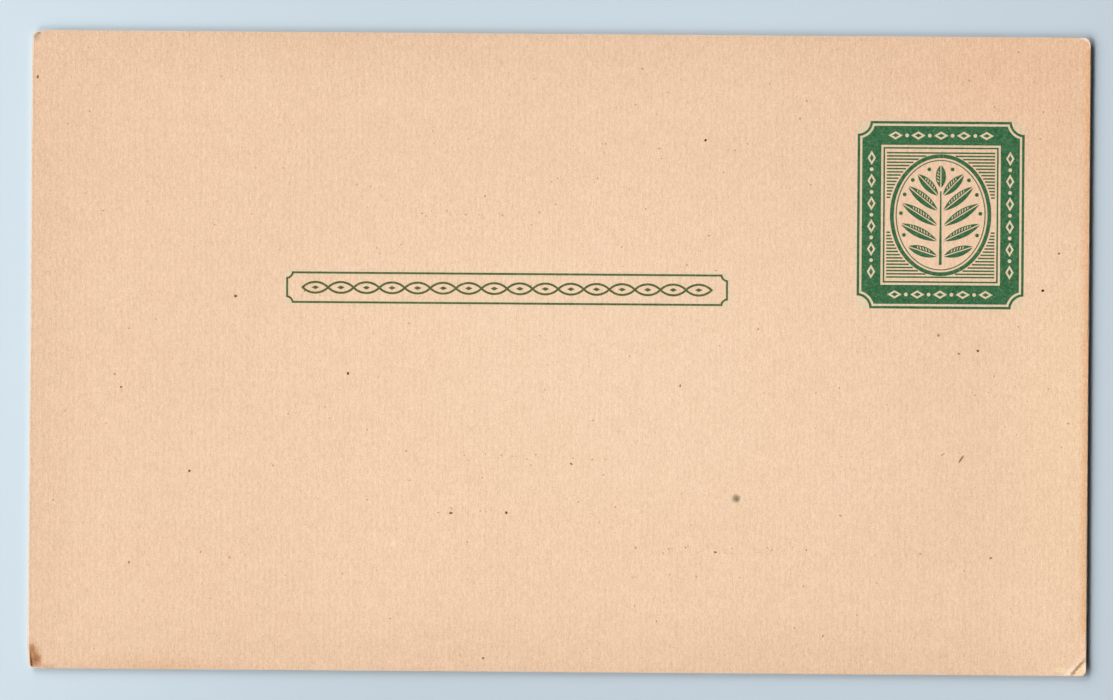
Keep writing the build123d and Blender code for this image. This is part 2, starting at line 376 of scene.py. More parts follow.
# each corner and its radius, anticlockwise from the bottom left
CORNERS = [
    (WORN_BOTTOM, 0.55),
    (Vector((half_length, -half_height)), 0.8),
    (Vector((half_length, half_height)), 0.9),
    (Vector((-half_length + RUBBED_ALONG_TOP, half_height)), SLIGHT_BEND),
    (Vector((-half_length, half_height - RUBBED_DOWN_LEFT)), 0.9),
    (WORN_LEFT, SLIGHT_BEND),
]
EDGE_STEP, ARC_STEP = 0.25, 0.09


def run_between(start, end):
    """Points along a straight edge, without its ends."""
    count = int((end - start).length / EDGE_STEP)
    return [start.lerp(end, i / count) for i in range(1, count)]


def outline():
    """Points round the card, anticlockwise, with rounded corners."""
    points = []
    for i, (corner, radius) in enumerate(CORNERS):
        into = (corner - CORNERS[i - 1][0]).normalized()
        away = (CORNERS[(i + 1) % len(CORNERS)][0] - corner).normalized()
        turn = math.atan2(into.x * away.y - into.y * away.x, into.dot(away))
        start = corner - into * radius * math.tan(turn / 2)
        centre = start + Vector((-into.y, into.x)) * radius
        spoke = start - centre
        if points:
            points += run_between(points[-1], start)
        steps = math.ceil(radius * turn / ARC_STEP)
        for step in range(steps + 1):
            angle = turn * step / steps
            points.append(centre + Vector((
                spoke.x * math.cos(angle) - spoke.y * math.sin(angle),
                spoke.x * math.sin(angle) + spoke.y * math.cos(angle))))
    return points + run_between(points[-1], points[0])


edge = outline()
edge_out = []
for i in range(len(edge)):
    along = edge[(i + 1) % len(edge)] - edge[i - 1]
    edge_out.append(Vector((along.y, -along.x)).normalized())
print(len(edge), "points round the edge")

# %% [markdown]
# ## The dog-eared corner
# One corner is bent up along a crease across it. Paper bends without stretching, so the corner turns
# about a line just above the front face: every point beyond the crease is turned about it, and the
# turn grows over a short distance, which rounds the crease. The same function bends all the plies.

# %% Bend beyond the crease
CREASE_UP_SIDE, CREASE_ALONG_BOTTOM = 2.45, 2.05
CREASE_TOP = Vector((half_length, -half_height + CREASE_UP_SIDE, 0))
CREASE_FOOT = Vector((half_length - CREASE_ALONG_BOTTOM, -half_height, 0))
CREASE_TURN = math.radians(3)
CREASE_WIDTH = 0.3
AXIS_ABOVE_FACE = 0.15
crease_axis = front_face + AXIS_ABOVE_FACE
crease_along = (CREASE_TOP - CREASE_FOOT).normalized()
crease_out = crease_along.cross(Vector((0, 0, 1)))


def bent(point):
    """A point of the flat card, in millimetres, moved to where the bent corner has it."""
    beyond = (point - CREASE_FOOT).dot(crease_out)
    if beyond <= 0:
        return point
    share = min(beyond / CREASE_WIDTH, 1)
    # the turn starts and ends gently
    turn = CREASE_TURN * share * share * (3 - 2 * share)
    height = point.z - crease_axis
    outward = beyond * math.cos(turn) - height * math.sin(turn)
    upward = beyond * math.sin(turn) + height * math.cos(turn)
    moved = point + crease_out * (outward - beyond)
    moved.z = crease_axis + upward
    return moved


print(f"corner tip lifts by {bent(Vector((half_length, -half_height, 0))).z:.2f} mm")

# %% [markdown]
# ## Wear along the edge
# Handling rounds a card's edge and rubs the coloured face back from it, so the paler inside shows as
# a fine line, most of all on the left edge and its corners. Sculpting could do this, but a formula
# keeps all the plies in step: a rounded profile, and wear that smooth noise makes uneven.

# %% Rounding and wear
EDGE_ROUNDING = 0.06
# wear as shares of a ply's own depth of wear: everywhere, on the left, at its corners, and the least
WEAR_ALL, WEAR_LEFT, WEAR_CORNER, WEAR_LEAST = 0.4, 1.0, 0.8, 0.05
LEFT_REACH, CORNER_REACH = 1.5, 3.0
# each wave of uneven wear: its length along the edge, its share, and what it adds to the seed
WEAR_WAVES = [(7.0, 0.4, 0), (0.9, 0.35, 7)]


def rounding(height):
    """How far the rounded edge has drawn in at a height above the back face."""
    share = abs(2 * height / front_face - 1)
    return EDGE_ROUNDING * (1 - math.sqrt(max(0.0, 1 - share**2)))


def wear(point, depth, seed):
    """How much of a ply is rubbed away at a point of the edge: more on the left and at its corners."""
    from_left = point.x + half_length
    from_corner = max(from_left, half_height - abs(point.y))
    share = WEAR_ALL + WEAR_LEFT * max(0.0, 1 - from_left / LEFT_REACH)
    share += WEAR_CORNER * max(0.0, 1 - from_corner / CORNER_REACH)
    for length, strength, step in WEAR_WAVES:
        share += strength * noise.noise(Vector((point.x / length, point.y / length, seed + step)))
    return depth * max(WEAR_LEAST, share)


worn_shares = [wear(point, 1.0, 0) for point in edge]
print(f"wear: {min(worn_shares):.2f} to {max(worn_shares):.2f} of a ply's own depth of wear")

# %% [markdown]
# ## The three plies
# Each ply is a closed mesh: loops of points run round the outline, inset more towards the faces, and a
# face closes each side. A few cuts along the crease give it the edges that it needs to bend there. The
# front ply is worn the most, and the core in the middle of the edge the least.

# %% Build the three plies
PLY_LEVELS = 5
CREASE_CUTS = 8
# points of a cut that are nearer than this, in metres, count as one
SAME_POINT = 1e-9


def make_ply(name, low, high, depth, seed):
    """A closed ply between two heights, its edge rounded and worn, its corner bent up."""
    build = bmesh.new()
    loops = []
    for level in range(PLY_LEVELS + 1):
        height = low + (high - low) * level / PLY_LEVELS
        loop = []
        for point, outward in zip(edge, edge_out):
            flat = point - outward * (rounding(height) + wear(point, depth, seed))
            loop.append(build.verts.new((flat.x * MM, flat.y * MM, height * MM)))
        loops.append(loop)
    for lower, upper in zip(loops, loops[1:]):
        for i in range(len(edge)):
            build.faces.new((lower[i - 1], lower[i], upper[i], upper[i - 1])).smooth = True
    build.faces.new(reversed(loops[0]))
    build.faces.new(loops[-1])
    for cut in range(CREASE_CUTS + 1):
        start = CREASE_FOOT + crease_out * CREASE_WIDTH * cut / CREASE_CUTS
        bmesh.ops.bisect_plane(
            build, geom=build.verts[:] + build.edges[:] + build.faces[:], dist=SAME_POINT,
            plane_co=start * MM, plane_no=crease_out)
    for vertex in build.verts:
        vertex.co = bent(vertex.co / MM) * MM
    mesh = bpy.data.meshes.new(name)
    build.to_mesh(mesh)
    build.free()
    piece = new_object(name, mesh)
    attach(piece, "root")
    print(f"{name}: {len(mesh.vertices)} points")
    return piece


back_sheet = make_ply("back_sheet", 0, core_underside, depth=0.06, seed=31)
core_sheet = make_ply("core_sheet", core_underside, front_underside, depth=0.02, seed=17)
front_sheet = make_ply("front_sheet", front_underside, front_face, depth=0.14, seed=5)
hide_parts("back_ply")
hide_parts("core_ply")
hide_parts("front_ply")

# %% [markdown]
# ## Toning of the front
# Years of light and handling have toned the front unevenly. Its right side is paler, with an orange rim;
# the card is darker along the bottom left; and one round grey-brown spot lies in the lower half. Painted
# shade darkens a band along the left edge, below the pale rim, and the last fraction of a millimetre of
# the right edge, next to the card's shadow. Oil from the ink has spread a little way into the bare card
# beside it and tints it green.

# %% Toned places and oil
# middle, half sizes, colour and strength: the paler right side, the bottom left, the round spot
EVEN_MARKS = [
    ((67.0, -11.0), (14.0, 55.0), "F8D5B0", 0.65),
    ((-53.0, -42.1), (17.0, 2.6), "E0B48E", 0.65),
    ((23.5, -19.0), (0.78, 0.78), "9E866C", 1.35),
]
TO_RIGHT, TO_LEFT = Vector((1, 0)), Vector((-1, 0))
# the side, how far in the toning reaches, its colour and strength: an orange rim on the right, then painted
# shade at the right edge and along the left edge
SIDE_TONING_AND_SHADE = [
    (TO_RIGHT, 1.3, "E9B68A", 0.85),
    # painted shade at the very right edge, next to the card's shadow
    (TO_RIGHT, 0.3, "D8B598", 0.6),
    # painted shade along the left edge, below the pale rim
    (TO_LEFT, 0.7, "DDB998", 0.5),
]
OIL_TINT = "DAD2B0"
# printed node, depth of its inked border, reach of the oil past it, strength of the tint
OIL_HALOS = [("imprint_outer_rule", 3.5, 0.6, 0.5), ("address_panel_border", 0.26, 0.45, 0.35)]


def toned_places(tree, place, ragged):
    """Layers for the paler and darker places of the front, the painted shade along its side edges, and the
    oil beside the ink.
    """
    layers = soft_spots(tree, place, EVEN_MARKS)
    for outward, reach, colour, strength in SIDE_TONING_AND_SHADE:
        past_side = beyond_line(tree, ragged, outward * half_length, outward)
        layers.append((colour, soft_line(tree, past_side, 0.0, reach, strength)))
    for node, depth, reach, strength in OIL_HALOS:
        low, high = (Vector(corner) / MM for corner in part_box(node))
        outside = outside_box(tree, place, low, high)
        layers.append((OIL_TINT, soft_line(tree, outside, -depth / 2, depth / 2 + reach, strength)))
    return layers


print(len(EVEN_MARKS) + len(SIDE_TONING_AND_SHADE), "toned places,", len(OIL_HALOS), "halos of oil")

# %% [markdown]
# ## Stains of the front
# A brown stain has soaked into the worn corner, and a dark brown line runs along that corner's edge. The
# corner above it is bruised grey, and the two corners on the right are rubbed pale. The cut side on the
# left is darkened by dirt and by painted shade, which tones down the lamps' strong light on that side.
# Each stain is one or more soft spots with ragged rims, because a single spot looks painted on.

# %% Stains, a dark line and the darkened side
# middle, half sizes, colour and strength of each stain
STAINS = [
    ((-69.1, -40.5), (1.7, 2.7), "CB9C72", 0.95),
    ((-69.2, -39.6), (0.9, 1.2), "B5805A", 0.9),
    ((-68.5, -40.9), (0.9, 1.4), "AE6E49", 0.95),
    ((-69.1, -41.0), (0.9, 1.3), "A9754F", 0.9),
    ((-69.3, -41.4), (0.5, 0.8), "7E5232", 0.6),
    ((-67.3, -41.9), (1.8, 0.6), "CE9C6C", 0.5),
    ((-69.4, 41.4), (1.1, 1.2), "A8957F", 0.75),
    ((-68.9, 41.7), (0.5, 0.45), "9A7C60", 0.55),
    ((-21.6, -25.3), (0.6, 0.9), "FBE0C6", 0.6),
    ((69.0, 41.95), (1.2, 0.35), "FBE6D8", 0.9),
    ((69.7, 41.3), (0.35, 1.2), "FBE6D8", 0.8),
    ((69.5, 41.75), (0.5, 0.5), "FBE6D8", 0.9),
    ((69.3, -38.6), (1.3, 3.8), "F4CEAC", 0.8),
    ((69.7, -41.0), (0.4, 1.3), "FBEEDC", 0.9),
    ((66.6, -41.4), (1.4, 0.6), "F9DBAE", 0.8),
]
# the dark brown line along the worn edge: how far past it, half width and strength, and the spot that
# bounds it
DARK_EDGE_BROWN, DARK_EDGE_LINE = "6A4222", (-0.36, 0.28, 0.65)
DARK_EDGE_SPOT = ((-half_length + 0.4, -half_height + 0.6), (1.3, 2.2), 1.3)
# the left cut side, darkened by dirt and by painted shade against the lamps' strong light: its reach from
# the left edge and strength, and the depths over which it sets in
SIDE_DIRT_AND_SHADE, SIDE_REACH, SIDE_STRENGTH = "A5866A", 1.5, 0.85
SIDE_FADE = (0.002, 0.015)
worn_along = (WORN_LEFT - WORN_BOTTOM).normalized()
worn_out = Vector((-worn_along.y, worn_along.x))


def stained_places(tree, place, ragged):
    """Layers for the stains, the dark brown line at the worn corner, and the left cut side darkened by dirt
    and painted shade.
    """
    past_worn = beyond_line(tree, ragged, WORN_LEFT, worn_out)
    past_left = beyond_line(tree, ragged, TO_LEFT * half_length, TO_LEFT)
    return [
        *soft_spots(tree, ragged, STAINS),
        (DARK_EDGE_BROWN, soft_line(tree, past_worn, *DARK_EDGE_LINE), soft_spot(tree, place, *DARK_EDGE_SPOT)),
        # painted shade, with dirt, on the left cut side, toning down the lamps' strong light there
        (SIDE_DIRT_AND_SHADE, soft_line(tree, past_left, 0.0, SIDE_REACH, SIDE_STRENGTH),
         below_level(tree, place, front_face, SIDE_FADE)),
    ]


print(len(STAINS), "stains placed")

# %% [markdown]
# ## Painted light and shade at the crease
# Where the corner was folded, the valley of the fold is painted darker, as painted shade. Beside it the
# ridge carries a painted highlight, most of all near the bottom edge, and the tip, turned towards the
# lamps, carries a paler painted highlight too.

# %% Painted shade and highlights of the crease
# each band along the crease: its colour, then how far beyond the crease, half width and strength
# painted highlight on the ridge beside the fold
RIDGE_HIGHLIGHT, RIDGE_HIGHLIGHT_BAND = "FDE2CA", (-0.45, 0.55, 0.95)
# painted highlight on the tip, which is turned towards the lamps
TIP_HIGHLIGHT, TIP_HIGHLIGHT_BAND = "FBE2BC", (0.75, 0.75, 0.6)
# painted shade in the valley of the fold
FOLD_SHADE, FOLD_SHADE_LINE = "A6845C", (-0.05, 0.27, 0.9)
# up the crease from its foot: where the painted highlight beside it has faded and to what share, and the
# run of the painted shade in the fold
RIDGE_HIGHLIGHT_RUN, RIDGE_HIGHLIGHT_END = 2.6, 0.4
FOLD_SHADE_RUN = (1.4, 1.9, 1.0)


def creased_places(tree, place, ragged):
    """Layers for the painted highlights beside the crease and on the tip, and the painted shade in the
    fold.
    """
    crease = beyond_line(tree, ragged, CREASE_FOOT, crease_out)
    up_crease = beyond_line(tree, place, CREASE_FOOT, crease_along)
    faded = add_node(tree, "ShaderNodeMapRange",
                     {"Value": up_crease, "From Min": RIDGE_HIGHLIGHT_RUN, "From Max": 0.0, "To Min": RIDGE_HIGHLIGHT_END})
    return [
        (RIDGE_HIGHLIGHT, soft_line(tree, crease, *RIDGE_HIGHLIGHT_BAND), faded.outputs[0]),
        (TIP_HIGHLIGHT, soft_line(tree, crease, *TIP_HIGHLIGHT_BAND)),
        (FOLD_SHADE, soft_line(tree, crease, *FOLD_SHADE_LINE), soft_line(tree, up_crease, *FOLD_SHADE_RUN)),
    ]


print(f"crease {(CREASE_TOP - CREASE_FOOT).length:.1f} mm long")

# %% [markdown]
# ## Grain of the paper
# Uncoated card stock is made on a paper machine: felt and wire leave fine upright ribs and grain on it,
# and fibres clump into faint clouds. Single fibres are finer than the render shows, so the finest layer
# of grain is about as coarse as one pixel of it. All layers add up to one small step of light, which is
# added to the colour, and also roughens and lifts the surface.

# %% Ribs, grain and ragged rims
# each layer of the grain: width and length in millimetres, levels of detail, contrast
GRAIN = [(0.13, 0.2, 1.0, 0.34), (0.18, 0.7, 0.0, 0.16), (1.6, 2.2, 2.0, 0.07), (24.0, 20.0, 1.0, 0.04)]
RIB_PITCH, RIB_CONTRAST, RIB_SWAY, RIB_SWAY_SCALE = 0.79, 0.02, 2.2, 0.6
WAVE_RADIANS = 20
RAG_SIZE, RAG_REACH = 0.5, 0.5
NOISE_MIDDLE = 0.5


def paper_grain(tree, place, seed):
    """How much lighter or darker than its colour the paper is at a place."""
    # a Wave Texture turns by so many radians over one unit at a scale of 1
    wave = add_node(tree, "ShaderNodeTexWave",
                    {"Vector": place, "Scale": math.tau / WAVE_RADIANS / RIB_PITCH,
                     "Distortion": RIB_SWAY, "Detail Scale": RIB_SWAY_SCALE}, bands_direction="X")
    middle = -NOISE_MIDDLE * (RIB_CONTRAST + sum(contrast for *_, contrast in GRAIN))
    shade = add_node(tree, "ShaderNodeMath", {0: wave.outputs["Fac"], 1: RIB_CONTRAST, 2: middle},
                     operation="MULTIPLY_ADD").outputs[0]
    for i, (width, length, detail, contrast) in enumerate(GRAIN):
        stretched = add_node(tree, "ShaderNodeMapping",
                             {"Vector": place, "Scale": (1 / width, 1 / length, 1.0)})
        grain = add_node(tree, "ShaderNodeTexNoise",
                         {"Vector": stretched.outputs[0], "W": seed + i, "Scale": 1.0, "Detail": detail},
                         noise_dimensions="4D")
        shade = add_node(tree, "ShaderNodeMath", {0: grain.outputs["Fac"], 1: contrast, 2: shade},
                         operation="MULTIPLY_ADD").outputs[0]
    return shade


def pushed_about(tree, place):
    """Places that noise has pushed about, for marks with a ragged rim."""
    rag = add_node(tree, "ShaderNodeTexNoise", {"Vector": place, "Scale": 1 / RAG_SIZE, "Detail": 2.0})
    centred = add_node(tree, "ShaderNodeVectorMath", {0: rag.outputs["Color"], 1: (NOISE_MIDDLE,) * 3},
                       operation="SUBTRACT")
    pushed = add_node(tree, "ShaderNodeVectorMath", {0: centred.outputs[0], 1: (RAG_REACH,) * 3, 2: place},
                      operation="MULTIPLY_ADD")
    return pushed.outputs[0]


print(len(GRAIN), "layers of grain over ribs", RIB_PITCH, "mm apart")

# %% [markdown]
# ## Toning by age
# Air and light reach a stack of cards from the outside, so old card is darker towards its edges. Both
# faces have that toning, and are darker in the top corners and paler in the middle.

# %% Toning by age
# how far in from the edge the toning reaches, its colour and strength
EDGE_TONING = [(10.0, "E9C5A5", 0.9), (1.2, "E3C0A2", 0.6)]
CORNER_SOFTNESS = 2.0
# middle, half sizes, colour and strength: the paler middle and the two darker corners
AREA_TONING = [
    ((4.0, -6.0), (62.0, 44.0), "F3D3B3", 0.9),
    ((66.0, 40.0), (40.0, 30.0), "E8BE9C", 0.8),
    ((-68.0, 38.0), (30.0, 32.0), "E8C2A2", 0.6),
]


def nearest_edge(tree, place):
    """How far a place lies from the card's nearest edge, rounded off where two edges meet."""
    axes = add_node(tree, "ShaderNodeSeparateXYZ", {0: place})
    nearest = half_length
    for axis, half in (("X", half_length), ("Y", half_height)):
        aside = add_node(tree, "ShaderNodeMath", {0: axes.outputs[axis]}, operation="ABSOLUTE")
        inward = add_node(tree, "ShaderNodeMath", {0: half, 1: aside.outputs[0]}, operation="SUBTRACT")
        nearest = add_node(tree, "ShaderNodeMath", {0: inward.outputs[0], 1: nearest, 2: CORNER_SOFTNESS},
                           operation="SMOOTH_MIN").outputs[0]
    return nearest


def aged_toning(tree, place):
    """Layers for the toning towards the edges, in the corners and in the middle."""
    nearest = nearest_edge(tree, place)
    layers = []
    for reach, colour, strength in EDGE_TONING:
        toned = add_node(tree, "ShaderNodeMapRange",
                         {"Value": nearest, "From Min": reach, "From Max": 0.0, "To Max": strength},
                         interpolation_type="SMOOTHSTEP")
        layers.append((colour, toned.outputs[0]))
    return layers + soft_spots(tree, place, AREA_TONING)


print(f"toning reaches {EDGE_TONING[0][0]:.0f} mm in from the edge")

# %% [markdown]
# ## Aged buff card
# The eye sees a matt warm buff, never one flat colour: the toning lies over it, and the grain mottles it
# all over. The hollows of the grain are a little rougher than the fibres that were pressed flat. The
# back is the same card without the marks of the front, because the photograph doesn't show it.

# %% Card face material
FACE_COLOUR = "EFCBAB"
# how much of the grain's step of light red, green and blue take, and how far the grain runs each way
GRAIN_STEP, GRAIN_RANGE = (1.0, 0.92, 0.85), 0.15
TOOTH_DEPTH = 0.004
HOLLOW_ROUGHNESS, RAISED_ROUGHNESS = 0.97, 0.87


def aged_buff_card(name, seed, kinds_of_marks):
    """Card with its toning and grain, and with the marks that each given function makes."""
    material, tree = new_material(name)
    place = places(tree)
    ragged = pushed_about(tree, place)
    layers = aged_toning(tree, place)
    for marks in kinds_of_marks:
        layers += marks(tree, place, ragged)
    face = laid_over(tree, FACE_COLOUR, layers)
    shade = paper_grain(tree, place, seed)
    step = add_node(tree, "ShaderNodeVectorMath", {0: GRAIN_STEP, "Scale": shade}, operation="SCALE")
    grained = add_node(tree, "ShaderNodeVectorMath", {0: face, 1: step.outputs[0]}, operation="ADD")
    rough = add_node(tree, "ShaderNodeMapRange",
                     {"Value": shade, "From Min": -GRAIN_RANGE, "From Max": GRAIN_RANGE,
                      "To Min": HOLLOW_ROUGHNESS, "To Max": RAISED_ROUGHNESS})
    tooth = add_node(tree, "ShaderNodeBump",
                     {"Height": shade, "Strength": 1.0, "Distance": TOOTH_DEPTH * MM})
    set_sockets(tree, tree.nodes["Principled BSDF"],
                {"Base Color": grained.outputs[0], "Roughness": rough.outputs[0],
                 "Normal": tooth.outputs[0], "Specular IOR Level": 0.15})
    return material


front_marks = [toned_places, stained_places, creased_places]
front_sheet.data.materials.append(
    aged_buff_card("aged_buff_card_front", seed=1.0, kinds_of_marks=front_marks))
back_sheet.data.materials.append(aged_buff_card("aged_buff_card_back", seed=20.0, kinds_of_marks=[]))
print("front and back finished in aged buff card")

# %% [markdown]
# ## Pale card core
# The inside of the card was never in the light, so it keeps a paler colour, which shows on the rim where
# the face is rubbed back. Its cut side has gathered dirt and carries painted shade that tones down the
# lamps' strong light on it, and shows its layers as fine level lines of pressed fibre. The rim and the
# side are told apart by their height.

# %% Core material
CORE_FIBRE, CORE_LAYER = 0.4, 0.03
# the darker and the paler fibres of the rim and of the side
RIM_DARK, RIM_PALE = "D9CABA", "F2E8DD"
# the cut side's colours are dirt and painted shade, darker than the lamps would leave it
CUT_DARK, CUT_PALE = "A38F7A", "C9B9A6"
CUT_FADE = (0.002, 0.02)
core_material, core_tree = new_material("pale_pressed_card_core")
core_place = places(core_tree)
core_stretch = add_node(core_tree, "ShaderNodeMapping",
                        {"Vector": core_place, "Scale": (1 / CORE_FIBRE, 1 / CORE_FIBRE, 1 / CORE_LAYER)})
core_noise = add_node(core_tree, "ShaderNodeTexNoise",
                      {"Vector": core_stretch.outputs[0], "Scale": 1.0, "Detail": 3.0})
fibres = core_noise.outputs["Fac"]
below_rim = below_level(core_tree, core_place, front_underside, CUT_FADE)
core_colour = laid_over(
    core_tree, RIM_DARK, [(RIM_PALE, fibres), (CUT_DARK, below_rim), (CUT_PALE, fibres, below_rim)])
set_sockets(core_tree, core_tree.nodes["Principled BSDF"],
            {"Base Color": core_colour, "Roughness": 0.95, "Specular IOR Level": 0.15})
core_sheet.data.materials.append(core_material)
print("core finished in pale pressed card")

# %% [markdown]
# ## Letterpress ink
# Green oil ink pressed from raised metal into the tooth of the card. It lies thin and matt, a little
# uneven, and the card shows through where it missed the hollows of the paper. The imprint carries a
# full film of ink, but the fine rules of the panel carry less, so there the buff card warms the green.

# %% Ink materials on the printed nodes
# the colour of the film where it is thickest, where it is thin, and where it missed
INK_FILMS = {
    "imprint": ("16502E", "4A7850", "92A077"),
    "address": ("3F5428", "667046", "A0A070"),
}
INK_MOTTLE, INK_PIT, INK_PIT_DEPTH = 0.4, 0.22, 0.002
# the stretch of the noise over which the film thins, and over which it misses, with the most that shows
THINNING, MISSING, MOST_MISSED = (0.24, 0.76), (0.6, 0.76), 0.7
THICK_ROUGHNESS, THIN_ROUGHNESS = 0.62, 0.78


def letterpress_ink(name, thick, thin, missed):
    """A thin film of ink, mottled and pitted, from its three colours."""
    material, tree = new_material(name)
    place = places(tree)
    mottle = add_node(tree, "ShaderNodeTexNoise", {"Vector": place, "Scale": 1 / INK_MOTTLE, "Detail": 3.0})
    pits = add_node(tree, "ShaderNodeTexNoise", {"Vector": place, "Scale": 1 / INK_PIT, "Detail": 2.0})
    thinned = add_node(tree, "ShaderNodeMapRange",
                       {"Value": mottle.outputs["Fac"], "From Min": THINNING[0], "From Max": THINNING[1]})
    bare = add_node(tree, "ShaderNodeMapRange",
                    {"Value": pits.outputs["Fac"], "From Min": MISSING[0], "From Max": MISSING[1],
                     "To Max": MOST_MISSED})
    rough = add_node(tree, "ShaderNodeMapRange",
                     {"Value": thinned.outputs[0], "To Min": THICK_ROUGHNESS, "To Max": THIN_ROUGHNESS})
    pitted = add_node(tree, "ShaderNodeBump",
                      {"Height": pits.outputs["Fac"], "Strength": 1.0, "Distance": INK_PIT_DEPTH * MM},
                      invert=True)
    colour = laid_over(tree, thick, [(thin, thinned.outputs[0]), (missed, bare.outputs[0])])
    set_sockets(tree, tree.nodes["Principled BSDF"],
                {"Base Color": colour, "Roughness": rough.outputs[0], "Normal": pitted.outputs[0],
                 "Specular IOR Level": 0.15})
    return material


inks = {}
for group, film in INK_FILMS.items():
    inks[group] = letterpress_ink(f"green_letterpress_ink_{group}", *film)
printed = [row["node"] for row in frame["record"]["subparts"] if row["material_slot"] == "green_ink"]
for name in printed:
    mesh = frame["nodes"][name].data
    mesh.materials.clear()
    mesh.materials.append(inks["address" if name.startswith("address") else "imprint"])
print(len(printed), "printed nodes in green letterpress ink")

# %% [markdown]
# ## Specks in the paper
# Cheap card holds shives of wood, specks of bark and flecks of stray ink, pale brown to nearly black,
# and gathers dirt as it lies about. A noise threshold could paint them, but then they would have no
# edges in the finished model, so each is a flat flake of its own, a hundredth of a millimetre thick.
# Each flake carries an attribute, how dark it is, which the material reads.

# %% Speck material
PALEST_SPECK, DARKEST_SPECK = "DBAA77", "4A1E04"
speck, speck_tree = new_material("brown_paper_speck")
darkness = add_node(speck_tree, "ShaderNodeAttribute", attribute_name="darkness").outputs["Fac"]
set_sockets(speck_tree, speck_tree.nodes["Principled BSDF"],
            {"Base Color": laid_over(speck_tree, PALEST_SPECK, [(DARKEST_SPECK, darkness)]),
             "Roughness": 0.9, "Specular IOR Level": 0.15})
print("speck colours from", PALEST_SPECK, "to", DARKEST_SPECK)

# %% [markdown]
# ## Flakes laid by Geometry Nodes
# Hundreds of flakes differ only in size, turn and tone, so Geometry Nodes lays copies of one flattened
# ball of few faces on points. The tree ends by making the copies real and giving them their finish.

# %% Flake trees
FLAKE_HEIGHT = 0.01
FLAKE_SIDES, FLAKE_RINGS = 10, 4


def geometry_tree(name, inputs):
    """A Geometry Nodes tree with named inputs, and its input node."""
    tree = bpy.data.node_groups.new(name, "GeometryNodeTree")
    tree.interface.new_socket("Geometry", in_out="INPUT", socket_type="NodeSocketGeometry")
    for label, kind in inputs.items():
        tree.interface.new_socket(label, in_out="INPUT", socket_type=kind)
    tree.interface.new_socket("Geometry", in_out="OUTPUT", socket_type="NodeSocketGeometry")
    return tree, add_node(tree, "NodeGroupInput")


def lay_flakes(tree, points, length, width, height, turn, darkness):
    """End a tree with a flake on each point: a ball one unit across, scaled to that size and turned."""
    ball = add_node(tree, "GeometryNodeMeshUVSphere",
                    {"Segments": FLAKE_SIDES, "Rings": FLAKE_RINGS, "Radius": 0.5})
    size = add_node(tree, "ShaderNodeCombineXYZ", {"X": length, "Y": width, "Z": height})
    upright = add_node(tree, "ShaderNodeCombineXYZ", {"Z": turn})
    rotation = add_node(tree, "FunctionNodeEulerToRotation", {0: upright.outputs[0]})
    flakes = add_node(tree, "GeometryNodeInstanceOnPoints",
                      {"Points": points, "Instance": ball.outputs["Mesh"], "Rotation": rotation.outputs[0],
                       "Scale": size.outputs[0]})
    toned = add_node(tree, "GeometryNodeStoreNamedAttribute",
                     {"Geometry": flakes.outputs[0], "Name": "darkness", "Value": darkness},
                     data_type="FLOAT", domain="INSTANCE")
    solid = add_node(tree, "GeometryNodeRealizeInstances", {"Geometry": toned.outputs[0]})
    finished = add_node(tree, "GeometryNodeSetMaterial", {"Geometry": solid.outputs[0], "Material": speck})
    add_node(tree, "NodeGroupOutput", {0: finished.outputs[0]})


print(f"flakes {FLAKE_HEIGHT} mm high, with {FLAKE_SIDES * FLAKE_RINGS} faces each")

# %% [markdown]
# ## Scattered specks
# Most specks are tiny and lie anywhere. The tree scatters points over a starting mesh and draws each
# flake's size, turn and darkness at random from a fixed seed; small and faint flakes are the most
# common, so both draws are raised to a power.

# %% Tree of scattered specks
SIZE_POWER, FAINT_POWER = 3.0, 2.0
# the most that a flake's length is of its width, and the least draw for its darkness
LONGEST_SHARE, FAINTEST_DRAW = 1.9, 0.3
scatter, given = geometry_tree("scattered_specks", {
    "Density": "NodeSocketFloat", "Smallest": "NodeSocketFloat", "Largest": "NodeSocketFloat",
    "Darkest": "NodeSocketFloat", "Height": "NodeSocketFloat", "Seed": "NodeSocketInt"})
scattered = add_node(scatter, "GeometryNodeDistributePointsOnFaces",
                     {"Mesh": given.outputs["Geometry"], "Density": given.outputs["Density"],
                      "Seed": given.outputs["Seed"]})


def random_draw(low, high, salt):
    """A random number for each point, of its own for each salt."""
    seed = add_node(scatter, "ShaderNodeMath", {0: given.outputs["Seed"], 1: float(salt)}, operation="ADD")
    draw = add_node(scatter, "FunctionNodeRandomValue",
                    {"Min": low, "Max": high, "Seed": seed.outputs[0]}, data_type="FLOAT")
    return draw.outputs["Value"]


rare = add_node(scatter, "ShaderNodeMath", {0: random_draw(0.0, 1.0, salt=1), 1: SIZE_POWER},
                operation="POWER")
flake_width = add_node(scatter, "ShaderNodeMapRange",
                       {"Value": rare.outputs[0], "To Min": given.outputs["Smallest"],
                        "To Max": given.outputs["Largest"]})
flake_length = add_node(scatter, "ShaderNodeMath",
                        {0: flake_width.outputs[0], 1: random_draw(1.0, LONGEST_SHARE, salt=2)},
                        operation="MULTIPLY")
faint = add_node(scatter, "ShaderNodeMath", {0: random_draw(FAINTEST_DRAW, 1.0, salt=3), 1: FAINT_POWER},
                 operation="POWER")
flake_dark = add_node(scatter, "ShaderNodeMath", {0: faint.outputs[0], 1: given.outputs["Darkest"]},
                      operation="MULTIPLY")
lay_flakes(scatter, scattered.outputs["Points"], flake_length.outputs[0], flake_width.outputs[0],
           given.outputs["Height"], random_draw(0.0, math.tau, salt=4), flake_dark.outputs[0])
print(len(scatter.nodes), "nodes scatter the specks")

